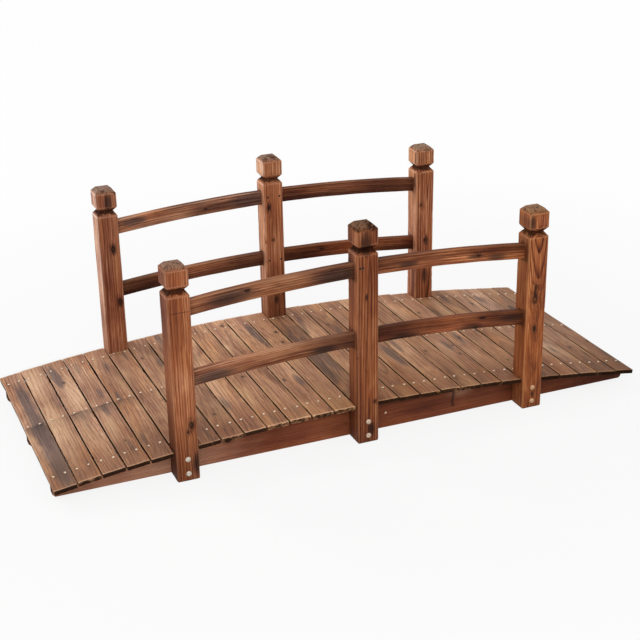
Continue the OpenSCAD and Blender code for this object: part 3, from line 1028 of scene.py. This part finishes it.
def post_attributes(here, height, place, look):
    """Point attributes of a post. Points are given from the middle of its foot."""
    x, y, z = here.T
    half = POST_W / 2
    cap_top, neck_top, neck_low = cap_levels(height)
    corner = smooth(np.minimum(np.abs(x), np.abs(y)), 20.5, 24.0)
    ring_edge = np.max([smooth(np.abs(z - level), 4.0, 0.5) for level in cap_levels(height)], axis=0)
    edge = np.maximum(corner * 0.85, ring_edge * 0.9)
    inside = np.maximum(np.abs(x), np.abs(y)) < half - 1.5
    neck = smooth(np.abs(z - neck_top + NECK_H / 2), 11.0, 3.0) * inside
    sole = smooth(z, 5.0, 0.0) * 0.8
    burnt_rim = smooth(z, cap_top - 12.0, cap_top + 3.0) * look["rim"]
    end = np.maximum.reduce([neck * 0.95, sole, burnt_rim])

    # The front and back faces are the wide side of the pattern
    grain = np.column_stack([z - POST_MIDDLE, x, -y])
    seed = np.random.default_rng(look["seed"]).uniform(0, 40)
    made = grain_attributes(grain, POST_LOOK, seed, look["tone"], look["scorch"], look["pith"], look["knots"],
                            look["patches"], edge, end, look["figure"], look["cast"])
    tone, scorch, late = made["tone"][:, 0], made["tone"][:, 1], made["figure"][:, 1]
    made["crown"] = smooth(z, cap_top + 1.0, cap_top + 6.0)
    made["mark"] = np.full(len(here), look["mark"] * MM)
    if look["figure_top"]:
        late *= smooth(z, *look["figure_top"]) * 0.8 + 0.2
        late *= 1 - 0.8 * smooth(z, neck_top, neck_top + 5)

    # Shaded foot, the cap's own colour, and painted light or painted shade that makes the left face paler or
    # darker than the front
    left = smooth(x, -25.0, -26.5)
    low_painted_light, high_painted_light = look["left_painted_light"]
    share, foot_top, foot_low = look["foot"]
    tone *= 1 - share * smooth(z, foot_top, foot_low) * (1 - 0.5 * left * (high_painted_light > 0.3))
    on_cap = smooth(z, neck_top, neck_top + 6) * smooth(z, cap_top, cap_top - 4)
    cap_tone, cap_green, cap_blue = look["cap"]
    tone *= 1 + (cap_tone - 1) * on_cap
    made["cast"] *= 1 + on_cap[:, None] * [[0.0, cap_green - 1, cap_blue - 1]]
    # Painted light on the left face, painted shade where it is below 0, with the shade kept off the cap
    glow = low_painted_light + (high_painted_light - low_painted_light) * smooth(z, *PAINTED_LIGHT_HEIGHTS)
    glow = np.where(glow < 0, glow * smooth(z, neck_top + 4, neck_top - 4), glow)
    tone *= 1 + glow * left
    made["cast"] *= 1 + (np.maximum(glow, 0) * left)[:, None] * [PAINTED_LIGHT_CAST]

    # Scorch round the mortises, which is also painted shade where the rails meet the post, and scorch below
    # the neck and at the foot
    bow = RAIL_R - math.sqrt(RAIL_R ** 2 - (POST_SPACING - half) ** 2) if place != "middle" else 0.0
    for direction in INNER_SIDES[place]:
        for top in RAIL_TOPS.values():
            away = np.abs(z - (top - bow - RAIL_H / 2))
            scorch += 0.4 * smooth(away, 36, 18) * smooth(x * direction, 24.0, 26.0)
    scorch += 0.15 * smooth(z, neck_low - 20, neck_top) + 0.12 * smooth(z, 110, 20)
    return made


def joined(parts):
    """One set of points and faces from several."""
    points, faces, base = [], [], 0
    for part_points, part_faces in parts:
        points.append(part_points)
        faces += [tuple(i + base for i in face) for face in part_faces]
        base += len(part_points)
    return np.concatenate(points), faces


for name, look in POSTS.items():
    post(name, look)


# Bolts, nails and pins

# A nail in the near stringer's face, as (x, z)
FACE_NAIL = (69.0, 40.0)
# Pins in the inner face of the far middle post and in the outer face of the near one, as (x, z)
FAR_PINS = ((-16.5, 437.0), (-16.5, 261.5), (16.5, 437.0), (16.5, 261.5))
NEAR_PINS = ((-19.0, 442.0), (-12.0, 442.0))


def lathe(profile, count):
    """Points and faces of a profile of (radius, height) turned about Z. A radius of 0 closes an end."""
    points, faces, rows = [], [], []
    for r, z in profile:
        number = count if r else 1
        rows.append(list(range(len(points), len(points) + number)))
        turns = [2 * math.pi * k / count for k in range(number)]
        points += [(r * math.cos(a), r * math.sin(a), z) for a in turns]
    for low, high in zip(rows, rows[1:]):
        for k in range(count):
            m = (k + 1) % count
            corners = (low[k % len(low)], low[m % len(low)], high[m % len(high)], high[k % len(high)])
            faces.append(tuple(dict.fromkeys(corners)))
    return np.array(points, float), faces


def steel_piece(name, parts, material, smooth_deg, *nodes):
    """One piece of many small turned parts."""
    points, faces = joined(parts)
    obj = make_mesh(name, points, faces, {}, material, smooth_deg)
    work = bmesh.new()
    work.from_mesh(obj.data)
    bmesh.ops.recalc_face_normals(work, faces=work.faces)
    work.to_mesh(obj.data)
    work.free()
    settle(obj, "bolt_steel", *nodes)


def facing_near(shape, x, y, z):
    """A turned shape set in a face that looks to the near side."""
    a, b, c = shape.T
    return np.column_stack([x + a, y - c, z + b])


def bolt_shape():
    """Carriage bolt: Z points in to the deck, the dome lies below 0."""
    grip = POST_W + STRINGER_T
    head = [(0, -3.5), (1.8, -3.38), (3.5, -2.9), (5.0, -2.1), (6.0, -1.1), (6.45, -0.45), (6.5, 0.1),
            (3.0, 0.1), (3.0, grip + 8.0), (2.4, grip + 9.2), (0, grip + 9.2)]
    washer = [(3.2, grip), (6.8, grip), (7.0, grip + 0.25), (7.0, grip + 0.95), (6.8, grip + 1.2),
              (3.2, grip + 1.2)]
    thread = []
    for k in range(4):
        z = grip + 6.3 + 0.7 * k
        thread += [(2.95, z), (3.2, z + 0.25), (2.95, z + 0.5)]
    nut_r = 5.0 / math.cos(math.pi / 6)
    nut = [(4.9, grip + 1.2), (nut_r, grip + 1.8), (nut_r, grip + 5.6), (4.9, grip + 6.2), (3.0, grip + 6.2)]
    return joined([lathe(head, 24), lathe(washer, 24), lathe(thread, 20), lathe(nut, 6)])


def post_bolts():
    shape, faces = bolt_shape()
    x, y, inward = shape.T
    parts = []
    for sign in SIDES.values():
        for cx in POST_X.values():
            for z in BOLT_Z:
                parts.append((np.column_stack([cx + x, sign * (POST_OUT_Y - inward), z - y * sign]), faces))
    steel_piece("carriage_bolts", parts, BOLT_STEEL, 40, "post_bolts")


def nail_heads():
    """Round heads of the nails that hold the boards, two over each stringer, a little tipped."""
    rng = np.random.default_rng(17)
    shape, faces = lathe([(2.3, -0.6), (2.95, 0.5), (3.0, 1.1), (2.3, 1.75), (1.2, 2.1), (0, 2.2)], 12)
    parts = []
    for index in range(1, BOARD_COUNT + 1):
        for row in NAIL_ROWS:
            for side in (-1, 1):
                across = side * NAIL_SIDE + rng.uniform(-1.4, 1.4)
                along = row + rng.uniform(-2.0, 2.0)
                lean = rng.uniform(0.0, 0.22)
                axis = Vector((rng.uniform(-1, 1), rng.uniform(-1, 1), 0.01)).normalized()
                tip = np.array(Matrix.Rotation(lean, 3, axis))
                a, b, c = ((shape * rng.uniform(0.9, 1.08)) @ tip.T).T
                up = BOARD_T + c + board_lift(index, along)
                parts.append((lay_on_arch(index, along + a, across + b, up), faces))
    x, z = FACE_NAIL
    parts.append((facing_near(shape, x, -POST_IN_Y, z), faces))
    steel_piece("deck_nails", parts, NAIL_STEEL, 60)


def rail_pins():
    """Small dark heads of the pins that hold the rails' ends in the posts."""
    shape, faces = lathe([(2.5, -0.5), (2.8, 0.1), (2.4, 0.32), (1.3, 0.4), (0, 0.42)], 12)
    parts = [(facing_near(shape, x, POST_IN_Y, z), faces) for x, z in FAR_PINS]
    parts += [(facing_near(shape, x, -POST_OUT_Y, z), faces) for x, z in NEAR_PINS]
    steel_piece("rail_pins", parts, PIN_STEEL, 60)


post_bolts()
nail_heads()
rail_pins()


# Floor, light and camera, in metres

FLOOR_HALF, FLOOR_Z = 30.0, -0.0005
WHITE = (255, 255, 255)
# How far back the deck hides the floor from the photo's side, for each metre of its height
SIGHT_BACK = 2.1
WORLD_LIGHT = 0.45
# Place, size and power of the lamps
LAMPS = {"key": ((-1.7, -3.2, 3.0), 2.2, 62.0), "fill": ((2.8, -2.2, 1.6), 2.4, 18.0),
         "rim": ((-2.4, 2.6, 2.4), 1.8, 50.0)}
LAMP_AIM = Vector((0, 0, 0.2))
# Camera fitted to the photo, with its focal length in pixels
CAMERA_PLACE, CAMERA_AIM = Vector((-1.1803, -2.9143, 1.5154)), Vector((0.3495, 0.8527, -0.3884))
CAMERA_ROLL, FOCAL_PIXELS, PHOTO_PIXELS, SENSOR_W = math.radians(-1.06), 1356.7, 640, 36.0


def seen_rays():
    """1 for the rays that show a surface to the camera, straight, mirrored or through glass."""
    paths = add_node("LightPath", {})
    kinds = ("Is Camera Ray", "Is Glossy Ray", "Is Transmission Ray")
    camera, glossy, through = [Sock(paths.outputs[kind]) for kind in kinds]
    return (camera + glossy + through).clamp()


def studio_floor():
    """Pale floor that looks white, with its own shading under the bridge and a little of it round about."""
    mesh = bpy.data.meshes.new("studio_floor")
    corners = [(a * FLOOR_HALF, b * FLOOR_HALF, FLOOR_Z) for a, b in ((-1, -1), (1, -1), (1, 1), (-1, 1))]
    mesh.from_pydata(corners, [], [(0, 1, 2, 3)])
    floor = add_object("studio_floor", mesh)
    material, shader = new_material("pale_floor")
    x, y, z = object_place()
    mottle = noise(x * 3.0, y * 3.0, z, 3.0)
    colour = ramp(mottle, (0.2, 0.8), ((236, 236, 235), (244, 244, 243)))
    feed(shader, {"Base Color": colour, "Roughness": 0.9, "Specular IOR Level": 0.1})
    glow = add_node("Emission", {"Color": WHITE, "Strength": 1.0})
    lift = (STRINGER_H + BOARD_T) * MM - x * x * (0.5 / (ARCH_R * MM))
    hidden = y - lift * SIGHT_BACK - DECK_W / 2 * MM
    under = x.abs().step(0.74, 0.72) * y.step(-0.27, -0.25) * hidden.step(0.025, -0.06)
    white = (x * x + y * y).sqrt().step(0.8, 2.2) * 0.12 + 0.86
    share = seen_rays() * (1.0 - under) * white
    blend = add_node("MixShader", {0: share, 1: shader.outputs[0], 2: glow.outputs[0]})
    feed(Sock.tree.nodes["Material Output"], {"Surface": blend.outputs[0]})
    mesh.materials.append(material)


def studio_world():
    """White surroundings that look white and light the bridge less."""
    world = bpy.data.worlds.new("studio_world")
    bpy.context.scene.world = world
    world.use_nodes = True
    Sock.tree = world.node_tree
    strength = seen_rays() * (1.0 - WORLD_LIGHT) + WORLD_LIGHT
    feed(world.node_tree.nodes["Background"], {"Color": WHITE, "Strength": strength})


def studio_lamps():
    for name, (place, size, power) in LAMPS.items():
        light = bpy.data.lights.new(f"{name}_light", "AREA")
        light.size = size
        light.energy = power
        lamp = add_object(f"{name}_light", light)
        lamp.location = place
        lamp.rotation_mode = "QUATERNION"
        lamp.rotation_quaternion = (LAMP_AIM - Vector(place)).to_track_quat("-Z", "Y")


def photo_camera():
    camera = bpy.data.cameras.new("photo_camera")
    camera.sensor_width = SENSOR_W
    camera.lens = FOCAL_PIXELS / PHOTO_PIXELS * SENSOR_W
    camera.clip_start, camera.clip_end = 0.05, 100.0
    holder = add_object("photo_camera", camera)
    forward = CAMERA_AIM.normalized()
    level = forward.cross(Vector((0, 0, 1))).normalized()
    upright = level.cross(forward)
    c, s = math.cos(CAMERA_ROLL), math.sin(CAMERA_ROLL)
    turn = Matrix((level * c + upright * s, upright * c - level * s, -forward)).transposed()
    holder.matrix_world = Matrix.Translation(CAMERA_PLACE) @ turn.to_4x4()
    bpy.context.scene.camera = holder


bpy.context.scene.view_settings.view_transform = "Standard"
studio_floor()
studio_world()
studio_lamps()
photo_camera()
